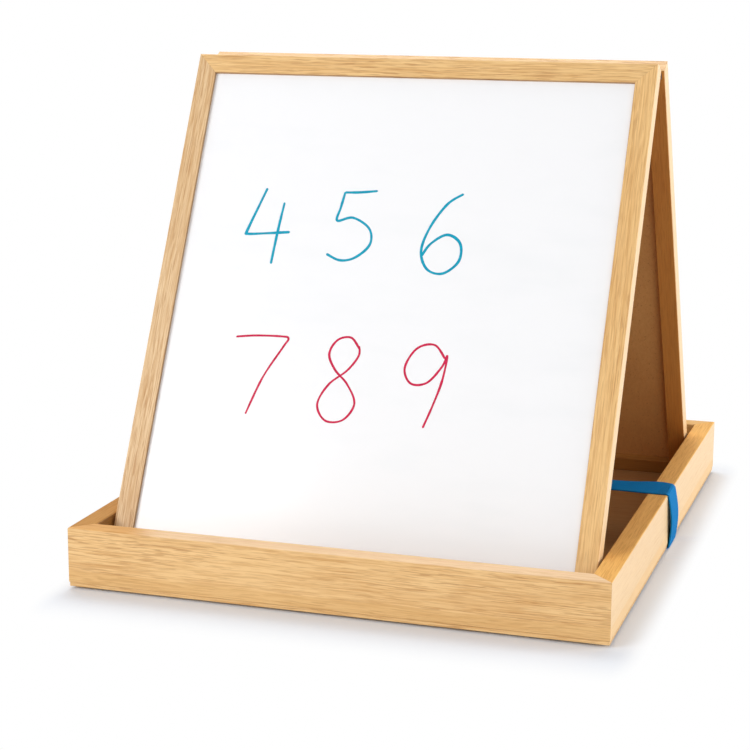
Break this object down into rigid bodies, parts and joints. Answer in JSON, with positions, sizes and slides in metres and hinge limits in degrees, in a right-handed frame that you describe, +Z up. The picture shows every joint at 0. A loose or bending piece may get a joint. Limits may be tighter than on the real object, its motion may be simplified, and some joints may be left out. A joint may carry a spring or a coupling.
{
  "type": "double-sided tabletop whiteboard easel",
  "caption": "Two framed magnetic writing boards hinged as an A-frame, standing in a shallow wooden storage tray with an elastic band round it.",
  "frame": {"origin": "on the surface that the tray stands on, under the middle of the whole object", "axes": "+X runs across the boards to the right as seen from the front, +Y runs from the front board to the back board, +Z is up"},
  "size_m": [0.4136, 0.486, 0.3814],
  "materials": {
    "oak_foil_board": "satin foil with an oak look",
    "enamelled_steel": "gloss white enamel",
    "hardboard": "smooth brown hardboard",
    "zinc_plated_steel": "zinc plated",
    "foot_rubber": "matte",
    "blue_elastic": "woven elastic"
  },
  "bodies": {
    "tray": {"tray_front_wall": "oak_foil_board", "tray_back_wall": "oak_foil_board", "tray_left_wall": "oak_foil_board", "tray_right_wall": "oak_foil_board", "tray_mitre_nails": "zinc_plated_steel", "tray_bottom_panel": "oak_foil_board", "bottom_panel_screws": "zinc_plated_steel", "tray_feet": "foot_rubber", "elastic_band": "blue_elastic"},
    "pins": {"hinge_pins": "zinc_plated_steel"},
    "front_board": {"front_top_rail": "oak_foil_board", "front_bottom_rail": "oak_foil_board", "front_left_stile": "oak_foil_board", "front_right_stile": "oak_foil_board", "front_mitre_nails": "zinc_plated_steel", "front_writing_sheet": "enamelled_steel", "front_backing_panel": "hardboard", "front_hinge_leaves": "zinc_plated_steel", "front_hinge_screws": "zinc_plated_steel"},
    "back_board": {"back_top_rail": "oak_foil_board", "back_bottom_rail": "oak_foil_board", "back_left_stile": "oak_foil_board", "back_right_stile": "oak_foil_board", "back_mitre_nails": "zinc_plated_steel", "back_writing_sheet": "enamelled_steel", "back_backing_panel": "hardboard", "back_hinge_leaves": "zinc_plated_steel", "back_hinge_screws": "zinc_plated_steel"}
  },
  "joints": [
    {"name": "boards_lift", "type": "slide", "parent": "tray", "child": "pins", "axis": [0, 0, 1], "range_m": [0, 0.13]},
    {"name": "front_fold", "type": "hinge", "parent": "pins", "child": "front_board", "pos_m": [0, 0, 0.37598], "axis": [1, 0, 0], "range_deg": [0, 27.97]},
    {"name": "back_fold", "type": "hinge", "parent": "pins", "child": "back_board", "pos_m": [0, 0, 0.37598], "axis": [1, 0, 0], "range_deg": [-27.97, 0]}
  ],
  "couplings": [
    {"joint": "front_fold", "follows": "boards_lift", "rad_per_m": 3.755},
    {"joint": "back_fold", "follows": "boards_lift", "rad_per_m": -3.755}
  ]
}
